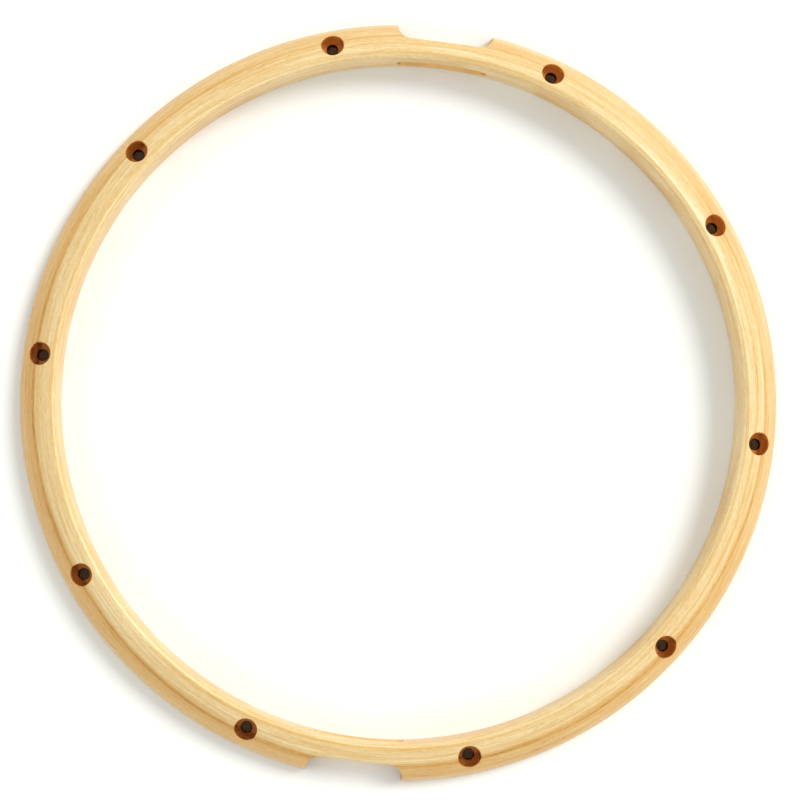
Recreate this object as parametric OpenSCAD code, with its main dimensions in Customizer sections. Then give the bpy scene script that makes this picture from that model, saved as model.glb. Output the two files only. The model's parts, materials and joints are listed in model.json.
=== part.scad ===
// Snare-side wooden drum hoop, 14 inch, laminated from bent plies.
// The hoop stands on its flat base: +Z is the hoop's axis, the gates are on +Y and -Y.

/* [Drum shell] */
// Outside diameter of the drum shell that the hoop goes over
shell_od = 355.6; // [250:0.1:460]
// Gap between the shell and the inside of the hoop, on the radius
shell_gap = 2.1; // [0.5:0.1:5]

/* [Hoop section] */
// Thickness of one ply
ply_t = 1.215; // [1.0:0.005:1.5]
// Height of the blank before its top is rounded over
blank_h = 25.4; // [20:0.1:31]
// Radius of the round-over on the outside of the top
round_over_r = 25.4; // [16:0.1:31]
// Radius of the easing on the inside of the top
inner_ease_r = 3.0; // [1:0.1:5]
// Chamfer on both edges of the base
base_chamfer = 0.5; // [0.2:0.1:1]

/* [Scarf joints] */
// Length of the scarf where the two ends of a ply meet
scarf_l = 6.0; // [4:0.5:6]
// Thickness of the glue line in a scarf
glue_t = 0.1; // [0.06:0.01:0.2]
// How far a scarf lies from the middle of its space between two rod holes, in degrees
scarf_shift = 6.0; // [-6:0.5:6]

/* [Tension rod holes] */
// Number of tension rods
rod_count = 10; // [6:2:10]
// Distance from the outside of the shell to the middle of a rod
rod_offset = 12.7; // [11.5:0.1:15]
// Diameter of the hole that a rod passes through
rod_hole_d = 6.3; // [5.5:0.1:8]
// Diameter of the counterbore for a rod's head and washer
head_bore_d = 12.0; // [10:0.1:14]
// Wood left under the counterbore
head_seat_h = 7.4; // [5:0.1:12]

/* [Snare gates] */
// Width of the notch in the outside of the hoop
notch_w = 50.8; // [40:0.1:60]
// Wood between the inside of the hoop and the flat of the notch, at the middle
notch_wall_t = 10.4; // [8:0.1:14]
// Radius of the notch's two inside corners
notch_corner_r = 7.5; // [2:0.1:8.5]
// How far each round end of the strap slot stops short of the notch's end
slot_inset = 1.4; // [0.5:0.1:6]
// Height of the strap slot
slot_h = 9.5; // [6:0.1:12]
// Wood left under the strap slot
sill_h = 3.0; // [2:0.1:6]

/* [Hidden] */
NODES = ["ply_01_inner", "ply_02", "ply_03", "ply_04", "ply_05", "ply_06",
         "ply_07", "ply_08", "ply_09", "ply_10", "ply_11", "ply_12",
         "ply_13", "ply_14", "ply_15", "ply_16", "ply_17", "ply_18_outer"];
$fn = 180;

pale_maple = [0.96, 0.84, 0.62];
warm_maple = [0.91, 0.75, 0.49];

inner_r = shell_od / 2 + shell_gap;
outer_r = ply_r(len(NODES));
rod_pitch = 360 / rod_count;
rod_circle_r = shell_od / 2 + rod_offset;
slot_w = notch_w - 2 * slot_inset;
// A cutter runs this far past the face that it leaves by.
past = 1;

// The round-over is an arc that leaves the outer wall upright. It is limited by the blank's height.
round_r = min(round_over_r, blank_h);
round_x = outer_r - round_r;
round_z = blank_h - round_r;
// The easing touches the inner wall and the round-over, or the flat top where there is one.
ease_x = inner_r + inner_ease_r;
ease_run = max(ease_x - round_x, 0);
ease_z = round_z + sqrt(pow(round_r - inner_ease_r, 2) - pow(ease_run, 2));
ease_end_x = round_x + ease_run * round_r / (round_r - inner_ease_r);
ease_top_x = max(ease_x, ease_end_x);

// Scarfs lie in the spaces between two rods that have no gate. Neighbouring plies use spaces far apart.
scarf_spaces = [for (m = [1 : rod_count - 1]) if (m != rod_count / 2) m];
scarf_step = 5;

// Inside radius of a ply, to 0.001 mm, so that the ply within it ends on the same radius.
function ply_r(i) = round(1000 * (inner_r + i * ply_t)) / 1000;
function scarf_angle(i) =
    90 + rod_pitch * scarf_spaces[(i * scarf_step) % len(scarf_spaces)] - scarf_shift;

// Half of the hoop's section, with X as the radius.
module hoop_section() {
    difference() {
        translate([inner_r, 0]) square([outer_r - inner_r, blank_h]);
        difference() {
            translate([round_x, round_z]) square(round_r + past);
            translate([round_x, round_z]) circle(r = round_r);
        }
        difference() {
            translate([inner_r - past, ease_z]) square([ease_top_x - inner_r + past, blank_h]);
            translate([ease_x, ease_z]) circle(r = inner_ease_r);
        }
        translate([inner_r, 0]) rotate(45) square(base_chamfer * sqrt(2), center = true);
        translate([outer_r, 0]) rotate(45) square(base_chamfer * sqrt(2), center = true);
    }
}

// The part of the section that one ply fills, turned into a ring.
module ply_ring(i) {
    rotate_extrude() intersection() {
        hoop_section();
        translate([ply_r(i), 0]) square([ply_r(i + 1) - ply_r(i), blank_h]);
    }
}

// The glue line of one ply's scarf: a thin upright slab that crosses the ply at a slant.
module scarf_cut(i) {
    slant = atan(ply_t / scarf_l);
    rotate(scarf_angle(i)) translate([ply_r(i) + ply_t / 2, 0, blank_h / 2])
        rotate(slant) cube([glue_t, 2 * scarf_l, blank_h + 2 * past], center = true);
}

// One hole and counterbore for each tension rod. The gates are midway between two rods.
module rod_holes() {
    for (k = [0 : rod_count - 1]) rotate(90 + rod_pitch * (k + 0.5)) translate([rod_circle_r, 0, 0]) {
        translate([0, 0, -past]) cylinder(d = rod_hole_d, h = blank_h + 2 * past);
        translate([0, 0, head_seat_h]) cylinder(d = head_bore_d, h = blank_h);
    }
}

// The notch in the outside, as high as the hoop, with a flat floor and round inside corners.
module notch_cut() {
    flat_y = inner_r + notch_wall_t;
    reach = outer_r + past - flat_y;
    corner_x = notch_w / 2 - notch_corner_r;
    translate([0, flat_y, -past]) linear_extrude(blank_h + 2 * past) {
        translate([-corner_x, 0]) square([2 * corner_x, reach]);
        translate([-notch_w / 2, notch_corner_r]) square([notch_w, reach - notch_corner_r]);
        for (s = [-1, 1]) translate([s * corner_x, notch_corner_r]) circle(r = notch_corner_r);
    }
}

// The strap slot, cut from the inside of the hoop through to the notch.
module slot_cut() {
    end_x = (slot_w - slot_h) / 2;
    start_y = inner_r * cos(asin(slot_w / 2 / inner_r)) - past;
    translate([0, start_y, sill_h + slot_h / 2]) rotate([-90, 0, 0])
        linear_extrude(outer_r - start_y) {
            square([2 * end_x, slot_h], center = true);
            for (s = [-1, 1]) translate([s * end_x, 0]) circle(d = slot_h);
        }
}

module snare_gates() {
    for (turn = [0, 180]) rotate(turn) {
        notch_cut();
        slot_cut();
    }
}

module ply(i) {
    difference() {
        ply_ring(i);
        scarf_cut(i);
        rod_holes();
        snare_gates();
    }
}

module ply_01_inner() { color(warm_maple) ply(0); }
module ply_02() { color(pale_maple) ply(1); }
module ply_03() { color(warm_maple) ply(2); }
module ply_04() { color(pale_maple) ply(3); }
module ply_05() { color(warm_maple) ply(4); }
module ply_06() { color(pale_maple) ply(5); }
module ply_07() { color(warm_maple) ply(6); }
module ply_08() { color(pale_maple) ply(7); }
module ply_09() { color(warm_maple) ply(8); }
module ply_10() { color(pale_maple) ply(9); }
module ply_11() { color(warm_maple) ply(10); }
module ply_12() { color(pale_maple) ply(11); }
module ply_13() { color(warm_maple) ply(12); }
module ply_14() { color(pale_maple) ply(13); }
module ply_15() { color(warm_maple) ply(14); }
module ply_16() { color(pale_maple) ply(15); }
module ply_17() { color(warm_maple) ply(16); }
module ply_18_outer() { color(pale_maple) ply(17); }

ply_01_inner();
ply_02();
ply_03();
ply_04();
ply_05();
ply_06();
ply_07();
ply_08();
ply_09();
ply_10();
ply_11();
ply_12();
ply_13();
ply_14();
ply_15();
ply_16();
ply_17();
ply_18_outer();
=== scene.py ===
import json
import math

import bmesh
import bpy
from mathutils import Matrix, Vector


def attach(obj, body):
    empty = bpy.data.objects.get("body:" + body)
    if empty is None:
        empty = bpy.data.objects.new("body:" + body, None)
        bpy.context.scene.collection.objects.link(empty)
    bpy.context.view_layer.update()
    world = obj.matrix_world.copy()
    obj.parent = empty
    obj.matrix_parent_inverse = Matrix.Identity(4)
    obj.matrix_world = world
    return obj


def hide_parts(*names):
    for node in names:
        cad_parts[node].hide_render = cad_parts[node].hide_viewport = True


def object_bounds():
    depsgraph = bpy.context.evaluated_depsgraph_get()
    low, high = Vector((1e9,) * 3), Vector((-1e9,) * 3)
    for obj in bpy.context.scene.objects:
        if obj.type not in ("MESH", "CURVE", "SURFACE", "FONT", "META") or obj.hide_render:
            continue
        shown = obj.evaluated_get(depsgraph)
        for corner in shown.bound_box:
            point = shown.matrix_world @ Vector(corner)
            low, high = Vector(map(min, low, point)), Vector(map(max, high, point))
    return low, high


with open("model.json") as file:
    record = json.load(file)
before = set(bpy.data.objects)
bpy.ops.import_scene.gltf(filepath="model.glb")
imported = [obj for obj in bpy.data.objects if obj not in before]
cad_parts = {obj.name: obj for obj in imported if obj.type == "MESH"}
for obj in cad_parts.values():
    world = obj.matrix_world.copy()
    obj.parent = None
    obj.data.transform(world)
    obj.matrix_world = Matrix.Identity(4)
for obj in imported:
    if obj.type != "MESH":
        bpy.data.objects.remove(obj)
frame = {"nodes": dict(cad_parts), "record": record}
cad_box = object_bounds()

# A bare laminated drum hoop. Every length is in metres, in the frame's own axes: +Z is the
# hoop's axis, the two snare gates are on +Y and -Y, and one rod hole is on +X.

MM = 0.001

# ---------------------------------------------------------------------------
# Sizes read from the frame
# ---------------------------------------------------------------------------

MOUNTS = {mount["name"]: mount["dims"] for mount in frame["record"]["mounts"]}
PLIES = sorted(name for name in frame["nodes"] if name.startswith("ply_"))
SLOT_OF = {part["node"]: part["material_slot"] for part in frame["record"]["subparts"]}


def corners(node):
    """Every corner point of a frame node."""
    return [vertex.co for vertex in frame["nodes"][node].data.vertices]


def radius_at(point):
    return math.hypot(point.x, point.y)


INNER_R = MOUNTS["shell_bore"]["r_mm"] * MM
ROD_COUNT = MOUNTS["rod_holes"]["count"]
ROD_CIRCLE_R = MOUNTS["rod_holes"]["pcd_mm"] / 2 * MM
ROD_HOLE_R = MOUNTS["rod_holes"]["hole_r_mm"] * MM
HEAD_BORE_R = MOUNTS["head_counterbores"]["hole_r_mm"] * MM

PLY_T = max(radius_at(point) for point in corners(PLIES[0])) - INNER_R
OUTER_R = INNER_R + len(PLIES) * PLY_T
MIDDLE_R = (INNER_R + OUTER_R) / 2
TOP_Z = cad_box[1][2]
# The frame's mesh is faceted, so its box ends this little before the true outside.
WIDEST_R = min(OUTER_R, cad_box[1][0])

# Turned and routed sizes that no mount holds
ROUND_OVER_R = 25.4 * MM
INNER_EASE_R = 3.0 * MM
BASE_CHAMFER = 0.5 * MM
SCARF_GAP = 0.1 * MM
SCARF_RUN = 6.0 * MM
SCARF_SHIFT = math.radians(6)
SCARF_STEP = 5
HOLE_ARRIS = 0.3 * MM
GATE_ARRIS = 0.8 * MM
SLOT_ARRIS = 0.5 * MM
JOINT_ARRIS = 0.03 * MM
# How far a cutter runs past the wood
CLEAR = 2.0 * MM
# A step of the crown nearer than this to a ply's inside face is left out.
LEAST_STEP = 0.02 * MM
# Steps round the hoop, and the angle past which an edge is shaded as a crisp one
STEPS_ROUND = 720
SHARP_ANGLE = math.radians(28)


def head_seat_height():
    """Height of the flat that a rod's head seats on: the lowest corner on a counterbore's wall."""
    on_wall = []
    for node in PLIES:
        for point in corners(node):
            off = math.hypot(point.x - ROD_CIRCLE_R, point.y)
            if abs(off - HEAD_BORE_R) < 0.05 * MM and point.z > 1.0 * MM:
                on_wall.append(point.z)
    return min(on_wall)


def strap_slot_size():
    """Half width, lowest and highest edge of the strap slot, as it leaves the inside wall."""
    edge = [
        point
        for point in corners(PLIES[0])
        if point.y > 0 and abs(point.x) < 30 * MM and 1 * MM < point.z < 18 * MM
    ]
    return (
        max(abs(point.x) for point in edge),
        min(point.z for point in edge),
        max(point.z for point in edge),
    )


def notch_size():
    """Half width of the notch, distance of its flat from the hoop's axis, and its corner radius,
    which ends where the notch's end walls start."""
    near = [point for node in PLIES for point in corners(node) if point.y > INNER_R]
    half_w = min(abs(point.x) for point in near if radius_at(point) > OUTER_R - PLY_T / 2)
    flat_y = max(point.y for point in near if abs(point.x) < half_w / 2)
    end_walls = [
        point.y for point in near if abs(abs(point.x) - half_w) < 0.001 * MM and point.y > flat_y
    ]
    return half_w, flat_y, min(end_walls) - flat_y


SEAT_Z = head_seat_height()
SLOT_HALF_W, SLOT_LOW_Z, SLOT_HIGH_Z = strap_slot_size()
NOTCH_HALF_W, NOTCH_FLAT, NOTCH_CORNER_R = notch_size()

# ---------------------------------------------------------------------------
# The hoop's section: an inside easing that runs into a quarter-round outside
# ---------------------------------------------------------------------------

ROUND_X = OUTER_R - ROUND_OVER_R
EASE_X = INNER_R + INNER_EASE_R
EASE_Z = math.sqrt((ROUND_OVER_R - INNER_EASE_R) ** 2 - (EASE_X - ROUND_X) ** 2)
EASE_END_X = ROUND_X + (EASE_X - ROUND_X) * ROUND_OVER_R / (ROUND_OVER_R - INNER_EASE_R)


def crown_z(radius):
    """Height of the top surface at a radius."""
    if radius < EASE_END_X:
        run = min(abs(radius - EASE_X), INNER_EASE_R)
        return EASE_Z + math.sqrt(INNER_EASE_R**2 - run**2)
    run = min(radius - ROUND_X, ROUND_OVER_R)
    return math.sqrt(ROUND_OVER_R**2 - run**2)


def crown_radii():
    """Radii of even steps along the easing and then along the round-over, from inside to outside."""
    ease_end = math.acos((EASE_X - EASE_END_X) / INNER_EASE_R)
    ease_steps = 12
    radii = [
        EASE_X - INNER_EASE_R * math.cos(ease_end * step / ease_steps)
        for step in range(1, ease_steps + 1)
    ]
    start = math.asin((EASE_END_X - ROUND_X) / ROUND_OVER_R)
    round_steps = 64
    for step in range(1, round_steps):
        angle = start + (math.pi / 2 - start) * step / round_steps
        radii.append(ROUND_X + ROUND_OVER_R * math.sin(angle))
    return radii


def ply_outline(index):
    """The section of one ply as (radius, height) points, anticlockwise from its inside foot."""
    low = INNER_R + index * PLY_T
    high = min(low + PLY_T, WIDEST_R)
    first, last = index == 0, index == len(PLIES) - 1
    foot_in = BASE_CHAMFER if first else 0.0
    foot_out = BASE_CHAMFER if last else 0.0
    points = [(low + foot_in, 0.0), (high - foot_out, 0.0)]
    if last:
        points.append((high, foot_out))
        points.append((high, crown_z(high)))
    else:
        points.append((high, crown_z(high) - JOINT_ARRIS))
        points.append((high - JOINT_ARRIS, crown_z(high - JOINT_ARRIS)))
    inside = low + (0.0 if first else JOINT_ARRIS)
    for radius in reversed(crown_radii()):
        if inside + LEAST_STEP < radius < high - 2 * JOINT_ARRIS:
            points.append((radius, crown_z(radius)))
    if first:
        points.append((low, EASE_Z))
        points.append((low, foot_in))
    else:
        points.append((inside, crown_z(inside)))
        points.append((low, crown_z(low) - JOINT_ARRIS))
    return points


# ---------------------------------------------------------------------------
# Meshes and objects
# ---------------------------------------------------------------------------


def new_object(name, points, faces=(), edges=()):
    mesh = bpy.data.meshes.new(name)
    mesh.from_pydata([Vector(point) for point in points], edges, faces)
    mesh.update()
    thing = bpy.data.objects.new(name, mesh)
    bpy.context.scene.collection.objects.link(thing)
    return thing


def outline_object(name, outline):
    """A closed outline in the XY plane, ready to be bent round the hoop."""
    count = len(outline)
    ring = [(index, (index + 1) % count) for index in range(count)]
    return new_object(name, [(x, y, 0.0) for x, y in outline], edges=ring)


def stacked_rings(name, rings):
    """A closed body through a stack of rings that all have the same number of points."""
    count = len(rings[0])
    points = [point for ring in rings for point in ring]
    faces = [list(range(count))[::-1]]
    for level in range(len(rings) - 1):
        base = level * count
        for step in range(count):
            after = (step + 1) % count
            faces.append((base + step, base + after, base + count + after, base + count + step))
    faces.append(list(range(len(points) - count, len(points))))
    thing = new_object(name, points, faces)
    face_outwards(thing.data)
    return thing


def face_outwards(mesh):
    work = bmesh.new()
    work.from_mesh(mesh)
    bmesh.ops.recalc_face_normals(work, faces=work.faces)
    work.to_mesh(mesh)
    work.free()


def drill_object():
    """The stepped cutter for one rod hole, at the hoop's axis with +X as the radius.

    Its rim flares a little where it leaves the crown, all the way round, to ease the edge."""
    turns = [2 * math.pi * step / 64 for step in range(64)]

    def ring(radius, height):
        return [(radius * math.cos(t), radius * math.sin(t), height) for t in turns]

    def crown_ring(radius, sink):
        return [
            (
                radius * math.cos(t),
                radius * math.sin(t),
                crown_z(math.hypot(ROD_CIRCLE_R + radius * math.cos(t), radius * math.sin(t))) - sink,
            )
            for t in turns
        ]

    wide = HEAD_BORE_R + HOLE_ARRIS
    rings = [
        ring(ROD_HOLE_R + HOLE_ARRIS, -CLEAR),
        ring(ROD_HOLE_R + HOLE_ARRIS, 0.0),
        ring(ROD_HOLE_R, HOLE_ARRIS),
        ring(ROD_HOLE_R, SEAT_Z - HOLE_ARRIS / 2),
        ring(ROD_HOLE_R + HOLE_ARRIS / 2, SEAT_Z),
        ring(HEAD_BORE_R, SEAT_Z),
        crown_ring(HEAD_BORE_R, HOLE_ARRIS),
        crown_ring(wide, 0.0),
        ring(wide, TOP_Z + CLEAR),
    ]
    return stacked_rings("drill", rings)


def notch_object():
    """The cutter for one notch, with +X as the radius: a flat floor, round inside corners and
    end walls that ease outwards where they meet the outside of the hoop."""
    steps = 10
    outer_x = math.sqrt(WIDEST_R**2 - NOTCH_HALF_W**2)
    half = []
    centre = (NOTCH_FLAT + NOTCH_CORNER_R, NOTCH_HALF_W - NOTCH_CORNER_R)
    for step in range(steps + 1):
        angle = math.pi / 2 * step / steps
        half.append(
            (
                centre[0] - NOTCH_CORNER_R * math.cos(angle),
                centre[1] + NOTCH_CORNER_R * math.sin(angle),
            )
        )
    for step in range(steps + 1):
        angle = math.pi / 2 * step / steps
        half.append(
            (
                outer_x - GATE_ARRIS * (1 - math.sin(angle)),
                NOTCH_HALF_W + GATE_ARRIS * (1 - math.cos(angle)),
            )
        )
    half.append((OUTER_R + CLEAR, NOTCH_HALF_W + GATE_ARRIS))
    outline = half + [(x, -y) for x, y in reversed(half)]
    rings = [[(x, y, z) for x, y in outline] for z in (-CLEAR, TOP_Z + CLEAR)]
    return stacked_rings("notch cutter", rings)


def slot_object():
    """The cutter for one strap slot, with +X as the radius: round ends, eased at both mouths."""
    end_r = (SLOT_HIGH_Z - SLOT_LOW_Z) / 2
    straight = SLOT_HALF_W - end_r
    middle_z = (SLOT_HIGH_Z + SLOT_LOW_Z) / 2
    steps = 16
    around = []
    for side in (1, -1):
        for step in range(steps + 1):
            angle = math.pi * (step / steps - 0.5)
            around.append((side, side * math.cos(angle), side * math.sin(angle)))

    def ring(grow, depth_of):
        points = []
        for side, across, up in around:
            y = side * straight + (end_r + grow) * across
            points.append((depth_of(y), y, middle_z + (end_r + grow) * up))
        return points

    def wall(y):
        return math.sqrt(INNER_R**2 - y**2)

    rings = [
        ring(SLOT_ARRIS, lambda y: wall(y) - CLEAR),
        ring(SLOT_ARRIS, wall),
        ring(SLOT_ARRIS * 0.3, lambda y: wall(y) + SLOT_ARRIS * 0.3),
        ring(0.0, lambda y: wall(y) + SLOT_ARRIS),
        ring(0.0, lambda y: NOTCH_FLAT - SLOT_ARRIS),
        ring(SLOT_ARRIS * 0.3, lambda y: NOTCH_FLAT - SLOT_ARRIS * 0.3),
        ring(SLOT_ARRIS, lambda y: NOTCH_FLAT),
        ring(SLOT_ARRIS, lambda y: OUTER_R + CLEAR),
    ]
    return stacked_rings("slot cutter", rings)


def scarf_angle(index):
    """The angle at which a ply's two ends meet: in a space between two rods that has no gate, a
    little off its middle, and in a space far from those that the next plies use."""
    spaces = [space for space in range(1, ROD_COUNT) if space != ROD_COUNT // 2]
    space = spaces[(index * SCARF_STEP) % len(spaces)]
    return math.pi / 2 - SCARF_SHIFT + 2 * math.pi / ROD_COUNT * space


def scarf_object(index):
    """The thin saw cut between the two ends of a ply, which cross on a slant."""
    slant = math.atan(PLY_T / SCARF_RUN)
    place = Matrix.Rotation(scarf_angle(index), 4, "Z")
    place @= Matrix.Translation((INNER_R + (index + 0.5) * PLY_T, 0, TOP_Z / 2))
    place @= Matrix.Rotation(slant, 4, "Z")
    half = (SCARF_GAP / 2, SCARF_RUN, TOP_Z / 2 + CLEAR)
    rings = []
    for z in (-half[2], half[2]):
        square = [(-half[0], -half[1]), (half[0], -half[1]), (half[0], half[1]), (-half[0], half[1])]
        rings.append([place @ Vector((x, y, z)) for x, y in square])
    return stacked_rings("scarf cutter", rings)


# ---------------------------------------------------------------------------
# Node trees
# ---------------------------------------------------------------------------


def put(tree, kind, settings=None, inputs=None):
    """Adds a node. An input is either a value or the socket that feeds it."""
    node = tree.nodes.new(kind)
    for name, value in (settings or {}).items():
        setattr(node, name, value)
    for key, value in (inputs or {}).items():
        for feed in value if isinstance(value, list) else [value]:
            if isinstance(feed, bpy.types.NodeSocket):
                tree.links.new(feed, node.inputs[key])
            else:
                node.inputs[key].default_value = feed
    return node


def new_geometry_tree(name, sockets):
    """A geometry tree with named inputs, as (name, socket type) pairs after the geometry."""
    tree = bpy.data.node_groups.new(name, "GeometryNodeTree")
    tree.interface.new_socket("Geometry", in_out="INPUT", socket_type="NodeSocketGeometry")
    tree.interface.new_socket("Geometry", in_out="OUTPUT", socket_type="NodeSocketGeometry")
    for label, kind in sockets:
        tree.interface.new_socket(label, in_out="INPUT", socket_type=kind)
    given = tree.nodes.new("NodeGroupInput").outputs
    return tree, given


def finish_tree(tree, geometry):
    out = tree.nodes.new("NodeGroupOutput")
    tree.links.new(geometry, out.inputs["Geometry"])


def run_tree(thing, tree, **values):
    """Puts a tree on an object, sets its inputs, and returns the result as a plain mesh."""
    modifier = thing.modifiers.new(tree.name, "NODES")
    modifier.node_group = tree
    for item in tree.interface.items_tree:
        label = item.name.replace(" ", "_").lower()
        if item.in_out == "INPUT" and label in values:
            modifier[item.identifier] = values[label]
    bpy.context.view_layer.update()
    graph = bpy.context.evaluated_depsgraph_get()
    mesh = bpy.data.meshes.new_from_object(thing.evaluated_get(graph), depsgraph=graph)
    thing.modifiers.remove(modifier)
    return mesh


def maths(tree, operation, *values, clamp=False):
    inputs = dict(enumerate(values))
    settings = {"operation": operation, "use_clamp": clamp}
    return put(tree, "ShaderNodeMath", settings, inputs).outputs[0]


def layout_tree():
    """Sets copies of a cutter round the hoop's axis at an even pitch."""
    tree, given = new_geometry_tree(
        "set out round the hoop",
        [
            ("Count", "NodeSocketInt"),
            ("Circle Radius", "NodeSocketFloat"),
            ("First Angle", "NodeSocketFloat"),
            ("Cut Wood", "NodeSocketMaterial"),
        ],
    )
    start = put(tree, "ShaderNodeCombineXYZ", inputs={"X": given["Circle Radius"]})
    points = put(
        tree,
        "GeometryNodePoints",
        inputs={"Count": given["Count"], "Position": start.outputs[0]},
    )
    copies = put(
        tree,
        "GeometryNodeInstanceOnPoints",
        inputs={"Points": points.outputs[0], "Instance": given["Geometry"]},
    )
    pitch = maths(tree, "DIVIDE", 2 * math.pi, given["Count"])
    index = tree.nodes.new("GeometryNodeInputIndex").outputs[0]
    turn = maths(tree, "MULTIPLY_ADD", index, pitch, given["First Angle"])
    about = put(tree, "ShaderNodeCombineXYZ", inputs={"Z": turn})
    turned = put(
        tree,
        "GeometryNodeRotateInstances",
        inputs={
            "Instances": copies.outputs[0],
            "Rotation": about.outputs[0],
            "Local Space": False,
        },
    )
    real = put(tree, "GeometryNodeRealizeInstances", inputs={"Geometry": turned.outputs[0]})
    cut = put(
        tree,
        "GeometryNodeSetMaterial",
        inputs={"Geometry": real.outputs[0], "Material": given["Cut Wood"]},
    )
    finish_tree(tree, cut.outputs[0])
    return tree


def bending_tree():
    """Bends a ply's outline into a ring, then drills and routs it."""
    tree, given = new_geometry_tree(
        "bend and machine a ply",
        [
            ("Bend Radius", "NodeSocketFloat"),
            ("Steps Round", "NodeSocketInt"),
            ("Drills", "NodeSocketObject"),
            ("Notches", "NodeSocketObject"),
            ("Slots", "NodeSocketObject"),
            ("Scarf", "NodeSocketObject"),
            ("Sharp Angle", "NodeSocketFloat"),
            ("Wood", "NodeSocketMaterial"),
            ("Drilled Wood", "NodeSocketMaterial"),
            ("Routed Wood", "NodeSocketMaterial"),
        ],
    )
    inwards = maths(tree, "MULTIPLY", given["Bend Radius"], -1.0)
    shift = put(tree, "ShaderNodeCombineXYZ", inputs={"X": inwards})
    section = put(
        tree,
        "GeometryNodeTransform",
        inputs={
            "Geometry": given["Geometry"],
            "Translation": shift.outputs[0],
            "Rotation": (math.pi, 0.0, 0.0),
        },
    )
    profile = put(tree, "GeometryNodeMeshToCurve", inputs={"Mesh": section.outputs[0]})
    circle = put(
        tree,
        "GeometryNodeCurvePrimitiveCircle",
        {"mode": "RADIUS"},
        {"Resolution": given["Steps Round"], "Radius": given["Bend Radius"]},
    )
    bent = put(
        tree,
        "GeometryNodeCurveToMesh",
        inputs={"Curve": circle.outputs[0], "Profile Curve": profile.outputs[0]},
    )
    outwards = put(tree, "GeometryNodeFlipFaces", inputs={"Mesh": bent.outputs[0]})
    sawn = put(
        tree,
        "GeometryNodeSetMaterial",
        inputs={"Geometry": outwards.outputs[0], "Material": given["Wood"]},
    )
    scarf = put(tree, "GeometryNodeObjectInfo", inputs={"Object": given["Scarf"]})
    cutters = [scarf.outputs["Geometry"]]
    for label, mark in (("Drills", "drilled"), ("Slots", "routed"), ("Notches", "routed")):
        thing = put(tree, "GeometryNodeObjectInfo", inputs={"Object": given[label]})
        marked = put(
            tree,
            "GeometryNodeStoreNamedAttribute",
            {"data_type": "BOOLEAN", "domain": "FACE"},
            {"Geometry": thing.outputs["Geometry"], "Name": mark, "Value": True},
        )
        cutters.append(marked.outputs[0])
    machined = put(
        tree,
        "GeometryNodeMeshBoolean",
        {"operation": "DIFFERENCE", "solver": "MANIFOLD"},
        {"Mesh 1": sawn.outputs[0], "Mesh 2": cutters},
    )
    smooth = put(
        tree,
        "GeometryNodeSetShadeSmooth",
        {"domain": "FACE"},
        {"Geometry": machined.outputs[0], "Shade Smooth": True},
    )
    corner = tree.nodes.new("GeometryNodeInputMeshEdgeAngle").outputs["Unsigned Angle"]
    is_sharp = maths(tree, "GREATER_THAN", corner, given["Sharp Angle"])
    crisp = put(
        tree,
        "GeometryNodeSetShadeSmooth",
        {"domain": "EDGE"},
        {"Geometry": smooth.outputs[0], "Selection": is_sharp, "Shade Smooth": False},
    )
    real = put(tree, "GeometryNodeRealizeInstances", inputs={"Geometry": crisp.outputs[0]})
    finished = put(
        tree,
        "GeometryNodeSetMaterial",
        inputs={"Geometry": real.outputs[0], "Material": given["Wood"]},
    )
    for mark, material in (("drilled", given["Drilled Wood"]), ("routed", given["Routed Wood"])):
        marked = put(
            tree, "GeometryNodeInputNamedAttribute", {"data_type": "BOOLEAN"}, {"Name": mark}
        ).outputs["Attribute"]
        finished = put(
            tree,
            "GeometryNodeSetMaterial",
            inputs={"Geometry": finished.outputs[0], "Selection": marked, "Material": material},
        )
    finish_tree(tree, finished.outputs[0])
    return tree


# ---------------------------------------------------------------------------
# Materials
# ---------------------------------------------------------------------------


def srgb(red, green, blue):
    """A colour given as 0-255 screen values, made linear."""

    def linear(value):
        value /= 255
        return value / 12.92 if value <= 0.04045 else ((value + 0.055) / 1.055) ** 2.4

    return (linear(red), linear(green), linear(blue), 1.0)


def new_material(name):
    material = bpy.data.materials.new(name)
    material.use_nodes = True
    tree = material.node_tree
    return material, tree, tree.nodes["Principled BSDF"]


def hoop_place(tree):
    """Radius, height and direction round the hoop's axis, from Object coordinates."""
    here = tree.nodes.new("ShaderNodeTexCoord").outputs["Object"]
    split = put(tree, "ShaderNodeSeparateXYZ", inputs={0: here}).outputs
    flat = put(tree, "ShaderNodeCombineXYZ", inputs={"X": split["X"], "Y": split["Y"]}).outputs[0]
    length = put(tree, "ShaderNodeVectorMath", {"operation": "LENGTH"}, {0: flat})
    turn = put(tree, "ShaderNodeVectorMath", {"operation": "NORMALIZE"}, {0: flat})
    return {
        "radius": length.outputs["Value"],
        "height": split["Z"],
        "turn": turn.outputs["Vector"],
    }


def grain(tree, place, along, across, up, seed, detail=2.0, rough=0.55):
    """Noise from 0 to 1 drawn out along the grain: feature sizes along it, across the plies and up."""
    run = put(
        tree,
        "ShaderNodeVectorMath",
        {"operation": "SCALE"},
        {0: place["turn"], "Scale": MIDDLE_R / along},
    ).outputs["Vector"]
    depth = maths(tree, "MULTIPLY_ADD", place["radius"], 1 / across, seed * 7.3)
    lift = put(tree, "ShaderNodeCombineXYZ", inputs={"Z": depth}).outputs[0]
    spot = put(tree, "ShaderNodeVectorMath", {"operation": "ADD"}, {0: run, 1: lift})
    rise = maths(tree, "MULTIPLY_ADD", place["height"], 1 / up, seed * 3.1)
    noise = put(
        tree,
        "ShaderNodeTexNoise",
        {"noise_dimensions": "4D"},
        {
            "Vector": spot.outputs["Vector"],
            "W": rise,
            "Scale": 1.0,
            "Detail": detail,
            "Roughness": rough,
        },
    )
    return noise.outputs["Fac"]


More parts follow.
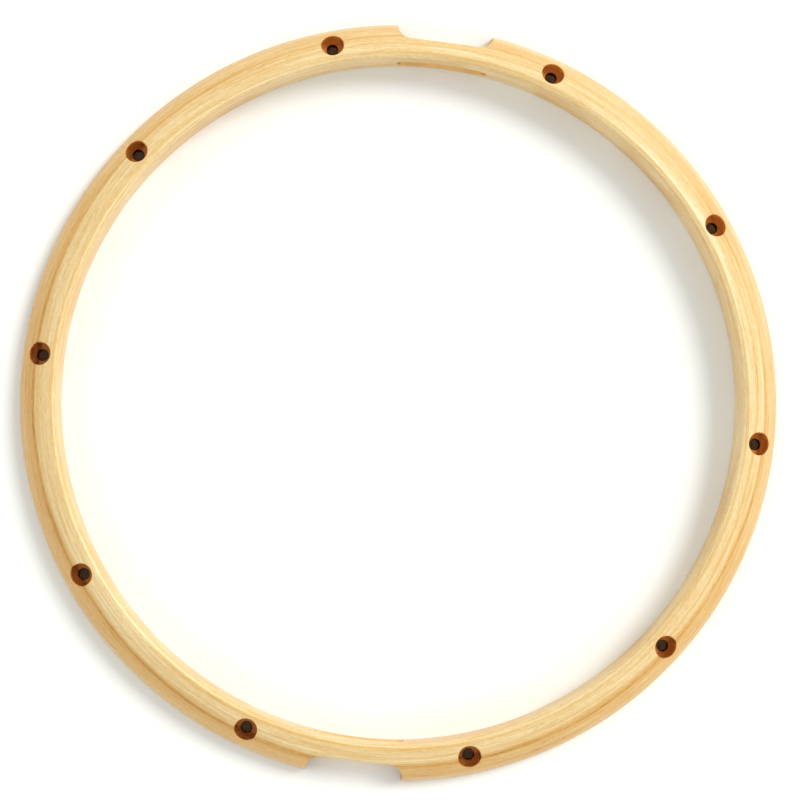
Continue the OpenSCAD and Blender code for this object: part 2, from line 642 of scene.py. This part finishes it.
def ramp(tree, value, stops):
    """A colour ramp through (place, colour) stops."""
    node = put(tree, "ShaderNodeValToRGB", inputs={"Fac": value})
    elements = node.color_ramp.elements
    ends = ((elements[0], stops[0]), (elements[1], stops[-1]))
    for element, (place, colour) in ends:
        element.position = place
        element.color = colour
    for place, colour in stops[1:-1]:
        elements.new(place).color = colour
    return node.outputs["Color"]


def step_up(tree, value, low, high):
    """0 below low and 1 above high, with a smooth change between them."""
    node = put(
        tree,
        "ShaderNodeMapRange",
        {"interpolation_type": "SMOOTHSTEP"},
        {"Value": value, "From Min": low, "From Max": high},
    )
    return node.outputs["Result"]


def swing(tree, value, amount):
    """A noise value turned into a swing of up to half the amount each way about 0."""
    return maths(tree, "MULTIPLY_ADD", value, amount, -amount / 2)


def add_up(tree, values):
    total = values[0]
    for value in values[1:]:
        total = maths(tree, "ADD", total, value)
    return total


# The lacquered maple's colour, from its palest wood to its darkest lines
MAPLE = [
    (0.0, srgb(243, 223, 180)),
    (0.3, srgb(224, 193, 138)),
    (0.5, srgb(215, 171, 103)),
    (0.65, srgb(209, 157, 79)),
    (0.8, srgb(186, 130, 57)),
    (1.0, srgb(116, 70, 28)),
]
# Wood that a router has cut, where the finish soaks in and leaves it warmer
ROUTED_MAPLE = [
    (0.0, srgb(246, 216, 158)),
    (0.45, srgb(230, 190, 122)),
    (0.75, srgb(194, 144, 80)),
    (1.0, srgb(118, 74, 32)),
]
# Wood in the drilled holes, as amber as the routed wood. Its darkest end is reached mostly by the
# painted shade deep in the through-holes, and also by its lines.
DRILLED_MAPLE = [
    (0.0, srgb(248, 206, 136)),
    (0.45, srgb(236, 180, 104)),
    (0.75, srgb(190, 126, 62)),
    (1.0, srgb(70, 36, 16)),
]

# The amber wood of the outer plies lies between these radii. Painted shade darkens it most towards
# this side of the hoop, turned away from the key light, and leaves it paler on the lit side.
AMBER_FROM = INNER_R + 10.6 * MM
AMBER_TO = INNER_R + 12.4 * MM
AMBER_EASES = INNER_R + 15.5 * MM
AMBER_SHADE_SIDE = math.radians(232)

# The noises in the wood: feature sizes along the grain, across the plies and up, and a seed
BROAD_FIGURE = {"along": 110 * MM, "across": 3.2 * MM, "up": 9 * MM, "seed": 1}
STREAKS = {"along": 34 * MM, "across": 1.1 * MM, "up": 2.6 * MM, "seed": 2, "detail": 3.0}
FINE_LINES = {
    "along": 11 * MM, "across": 0.38 * MM, "up": 1.0 * MM, "seed": 3, "detail": 3.0, "rough": 0.65
}
FLECKS = {"along": 2.6 * MM, "across": 0.6 * MM, "up": 0.9 * MM, "seed": 4, "rough": 0.6}
SHOWN_JOINTS = {"along": 40 * MM, "across": 1.3 * MM, "up": 60 * MM, "seed": 5}
SPECKS = {"along": 1.4 * MM, "across": 0.3 * MM, "up": 0.5 * MM, "seed": 6, "detail": 1.0}
SPECKED_WOOD = {"along": 14 * MM, "across": 3 * MM, "up": 6 * MM, "seed": 7}
AMBER_WANDER = {"along": 150 * MM, "across": 60 * MM, "up": 60 * MM, "seed": 8, "detail": 1.0}

# How much each of them darkens the wood, on the colour ramps' scale
OWN_TONE = 0.07
BROAD_SWING = 0.42
STREAK_SWING = 0.48
FINE_SWING = 0.46
FLECK_SWING = 0.42
JOINT_DARK = 0.18
SPECK_DARK = 0.26
AMBER_DARK = 0.42


def wood_darkness(tree, place, tone):
    """How dark the wood is at each point, and the fine lines in it for the bump. The amber band's
    darkness carries painted shade that follows the key light round the hoop.
    """
    ply = maths(tree, "DIVIDE", maths(tree, "SUBTRACT", place["radius"], INNER_R), PLY_T)
    number = maths(tree, "FLOOR", maths(tree, "ADD", ply, 0.0005))
    own = put(tree, "ShaderNodeTexWhiteNoise", {"noise_dimensions": "1D"}, {"W": number})
    across = maths(tree, "SUBTRACT", ply, number)

    broad = grain(tree, place, **BROAD_FIGURE)
    streak = grain(tree, place, **STREAKS)
    fine = grain(tree, place, **FINE_LINES)
    fleck = grain(tree, place, **FLECKS)

    edge = maths(tree, "MINIMUM", across, maths(tree, "SUBTRACT", 1.0, across))
    joint = maths(tree, "SUBTRACT", 1.0, step_up(tree, edge, 0.03, 0.13))
    joint_run = step_up(tree, grain(tree, place, **SHOWN_JOINTS), 0.40, 0.62)
    joint = maths(tree, "MULTIPLY", joint, joint_run)

    speck = grain(tree, place, **SPECKS)
    sparse = step_up(tree, grain(tree, place, **SPECKED_WOOD), 0.48, 0.66)
    speck = maths(tree, "MULTIPLY", step_up(tree, speck, 0.64, 0.74), sparse)

    # Painted shade: the amber band is darkened most on the side turned away from the key light, and
    # least on the lit side.
    facing = put(
        tree,
        "ShaderNodeVectorMath",
        {"operation": "DOT_PRODUCT"},
        {0: place["turn"], 1: (math.cos(AMBER_SHADE_SIDE), math.sin(AMBER_SHADE_SIDE), 0.0)},
    ).outputs["Value"]
    shade_side_weight = maths(tree, "MINIMUM", maths(tree, "MULTIPLY_ADD", facing, 0.42, 0.68), 0.86)
    wander = swing(tree, grain(tree, place, **AMBER_WANDER), 3.0 * MM)
    shifted = maths(tree, "ADD", place["radius"], wander)
    amber = step_up(tree, shifted, AMBER_FROM, AMBER_TO)
    eased = step_up(tree, shifted, AMBER_TO, AMBER_EASES)
    amber = maths(tree, "MULTIPLY_ADD", eased, -0.35, amber)

    darkness = add_up(
        tree,
        [
            maths(tree, "MULTIPLY_ADD", own.outputs["Value"], OWN_TONE, tone),
            swing(tree, broad, BROAD_SWING),
            swing(tree, streak, STREAK_SWING),
            swing(tree, fine, FINE_SWING),
            swing(tree, fleck, FLECK_SWING),
            maths(tree, "MULTIPLY", joint, JOINT_DARK),
            maths(tree, "MULTIPLY", speck, SPECK_DARK),
            maths(tree, "MULTIPLY", maths(tree, "MULTIPLY", amber, shade_side_weight), AMBER_DARK),
        ],
    )
    lines = add_up(
        tree,
        [swing(tree, fine, 1.0), swing(tree, streak, 0.6), maths(tree, "MULTIPLY", joint, -0.8)],
    )
    return darkness, lines


def end_grain(tree, place):
    """1 where a face looks along the grain, and 0 where it lies with the grain."""
    turn = place["turn"]
    along = put(
        tree,
        "ShaderNodeVectorMath",
        {"operation": "CROSS_PRODUCT"},
        {0: turn, 1: (0.0, 0.0, 1.0)},
    ).outputs["Vector"]
    normal = tree.nodes.new("ShaderNodeNewGeometry").outputs["True Normal"]
    facing = put(tree, "ShaderNodeVectorMath", {"operation": "DOT_PRODUCT"}, {0: along, 1: normal})
    return step_up(tree, maths(tree, "ABSOLUTE", facing.outputs["Value"]), 0.35, 0.9)


def maple(name, stops, tone, roughness, end_dark, coat=0.0, hole_shade_dark=0.0):
    """Maple in one finish. End grain is darker by end_dark, and wood below the seats of the rods'
    heads, deep in the through-holes, is darkened by a painted shade of the given strength. A coat is
    the lacquer."""
    material, tree, surface = new_material(name)
    place = hoop_place(tree)
    darkness, lines = wood_darkness(tree, place, tone)
    ends = maths(tree, "MULTIPLY", end_grain(tree, place), end_dark)
    # Painted shade: wood below the head seats, down in the through-holes, is pushed towards the ramp's
    # darkest brown.
    raised = step_up(tree, place["height"], SEAT_Z - 1.5 * MM, SEAT_Z - 0.2 * MM)
    hole_shade = maths(tree, "MULTIPLY_ADD", raised, -hole_shade_dark, hole_shade_dark)
    darkness = add_up(tree, [darkness, ends, hole_shade])
    colour = ramp(tree, darkness, stops)
    tree.links.new(colour, surface.inputs["Base Color"])
    shine = maths(tree, "MULTIPLY_ADD", lines, 0.10, roughness, clamp=True)
    tree.links.new(shine, surface.inputs["Roughness"])
    surface.inputs["Coat Weight"].default_value = coat
    surface.inputs["Coat Roughness"].default_value = 0.22
    surface.inputs["Specular IOR Level"].default_value = 0.22
    bump = put(
        tree,
        "ShaderNodeBump",
        inputs={"Height": lines, "Strength": 0.25, "Distance": 0.02 * MM},
    )
    tree.links.new(bump.outputs["Normal"], surface.inputs["Normal"])
    return material


def floor_material():
    material, tree, surface = new_material("white studio floor")
    here = tree.nodes.new("ShaderNodeTexCoord").outputs["Object"]
    noise = put(
        tree,
        "ShaderNodeTexNoise",
        inputs={"Vector": here, "Scale": 3.0, "Detail": 3.0},
    ).outputs["Fac"]
    colour = ramp(tree, noise, [(0.3, (0.93, 0.93, 0.93, 1)), (0.7, (0.95, 0.95, 0.94, 1))])
    tree.links.new(colour, surface.inputs["Base Color"])
    surface.inputs["Roughness"].default_value = 0.9
    surface.inputs["Specular IOR Level"].default_value = 0.1
    return material


# ---------------------------------------------------------------------------
# The hoop
# ---------------------------------------------------------------------------


def remove(*things):
    for thing in things:
        mesh = thing.data
        bpy.data.objects.remove(thing)
        bpy.data.meshes.remove(mesh)


def make_cutters(drilled, routed):
    """The cutters for all rod holes, both notches and both slots, each as one plain mesh."""
    tree = layout_tree()
    made = {}
    for label, thing, wood, count, circle, first in (
        ("drills", drill_object(), drilled, ROD_COUNT, ROD_CIRCLE_R, 0.0),
        ("notches", notch_object(), routed, 2, 0.0, math.pi / 2),
        ("slots", slot_object(), routed, 2, 0.0, math.pi / 2),
    ):
        thing.data = run_tree(
            thing, tree, count=count, circle_radius=circle, first_angle=first, cut_wood=wood
        )
        made[label] = thing
    return made


def make_hoop():
    woods = {
        "maple_warm": maple(
            "warm lacquered maple", MAPLE, tone=0.29, roughness=0.42, end_dark=0.20, coat=0.30
        ),
        "maple_pale": maple(
            "pale lacquered maple", MAPLE, tone=0.24, roughness=0.42, end_dark=0.20, coat=0.30
        ),
    }
    drilled = maple(
        "drilled maple", DRILLED_MAPLE, tone=0.30, roughness=0.55, end_dark=0.20, hole_shade_dark=0.9
    )
    routed = maple("routed maple", ROUTED_MAPLE, tone=0.30, roughness=0.60, end_dark=0.35)
    cutters = make_cutters(drilled, routed)
    tree = bending_tree()
    for index, node in enumerate(PLIES):
        piece = outline_object("bent_" + node, ply_outline(index))
        scarf = scarf_object(index)
        bent = run_tree(
            piece,
            tree,
            bend_radius=MIDDLE_R,
            steps_round=STEPS_ROUND,
            scarf=scarf,
            sharp_angle=SHARP_ANGLE,
            wood=woods[SLOT_OF[node]],
            drilled_wood=drilled,
            routed_wood=routed,
            **cutters,
        )
        bent.name = piece.name
        piece.data = bent
        remove(scarf)
        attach(piece, "root")
        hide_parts(node)
    remove(*cutters.values())


# ---------------------------------------------------------------------------
# Studio: floor, light and camera
# ---------------------------------------------------------------------------


FLOOR_REACH = 3.0

SUN_STRENGTH = 1.8
SUN_COLOUR = (1.0, 0.985, 0.95)
SUN_WIDTH = math.radians(24)
SUN_AZIMUTH = math.radians(41)
SUN_ELEVATION = math.radians(46)

TENT_COLOUR = (0.955, 1.0, 0.985, 1.0)
TENT_LIGHT = 1.08
OVERHEAD_LIGHT = 0.10
# The opening overhead fades between these angles from straight up.
OPENING_CORE = math.radians(20)
OPENING_EDGE = math.radians(36)

CAMERA_STAND = (-0.0250, -0.0582, 1.2000)
CAMERA_AIM = (0.0004, -0.0015, 0.0)
CAMERA_TURN = math.radians(7.1)
CAMERA_LENS = 100.3
CAMERA_SENSOR = 36.0


def make_floor():
    reach = FLOOR_REACH
    square = [(-reach, -reach, 0), (reach, -reach, 0), (reach, reach, 0), (-reach, reach, 0)]
    floor = new_object("floor", square, [(0, 1, 2, 3)])
    floor.data.materials.append(floor_material())


def make_light():
    """One broad soft key from beyond the hoop's right side, and a pale tent of light all round
    that is open overhead, so that little light reaches straight down into the holes."""
    sun = bpy.data.lights.new("key", "SUN")
    sun.energy = SUN_STRENGTH
    sun.angle = SUN_WIDTH
    sun.color = SUN_COLOUR
    lamp = bpy.data.objects.new("key", sun)
    bpy.context.scene.collection.objects.link(lamp)
    towards = Vector(
        (
            math.cos(SUN_AZIMUTH) * math.cos(SUN_ELEVATION),
            math.sin(SUN_AZIMUTH) * math.cos(SUN_ELEVATION),
            math.sin(SUN_ELEVATION),
        )
    )
    lamp.rotation_euler = towards.to_track_quat("Z", "Y").to_euler()
    world = bpy.data.worlds.new("studio")
    bpy.context.scene.world = world
    world.use_nodes = True
    tree = world.node_tree
    back = tree.nodes["Background"]
    back.inputs["Color"].default_value = TENT_COLOUR
    upwards = tree.nodes.new("ShaderNodeTexCoord").outputs["Generated"]
    height = put(tree, "ShaderNodeSeparateXYZ", inputs={0: upwards}).outputs["Z"]
    opening = step_up(tree, height, math.cos(OPENING_EDGE), math.cos(OPENING_CORE))
    strength = maths(tree, "MULTIPLY_ADD", opening, OVERHEAD_LIGHT - TENT_LIGHT, TENT_LIGHT)
    tree.links.new(strength, back.inputs["Strength"])


def make_camera():
    """Almost straight above the hoop, which lies turned a little clockwise in the view."""
    stand = Vector(CAMERA_STAND)
    back = (stand - Vector(CAMERA_AIM)).normalized()
    upwards = Vector((-math.sin(CAMERA_TURN), math.cos(CAMERA_TURN), 0.0))
    right = upwards.cross(back).normalized()
    up = back.cross(right)
    lens = bpy.data.cameras.new("camera")
    lens.sensor_width = CAMERA_SENSOR
    lens.lens = CAMERA_LENS
    camera = bpy.data.objects.new("camera", lens)
    bpy.context.scene.collection.objects.link(camera)
    axes = Matrix((right, up, back)).transposed()
    camera.matrix_world = Matrix.Translation(stand) @ axes.to_4x4()
    bpy.context.scene.camera = camera


def set_view():
    view = bpy.context.scene.view_settings
    view.view_transform = "Standard"
    view.look = "None"


make_hoop()
make_floor()
make_light()
make_camera()
set_view()
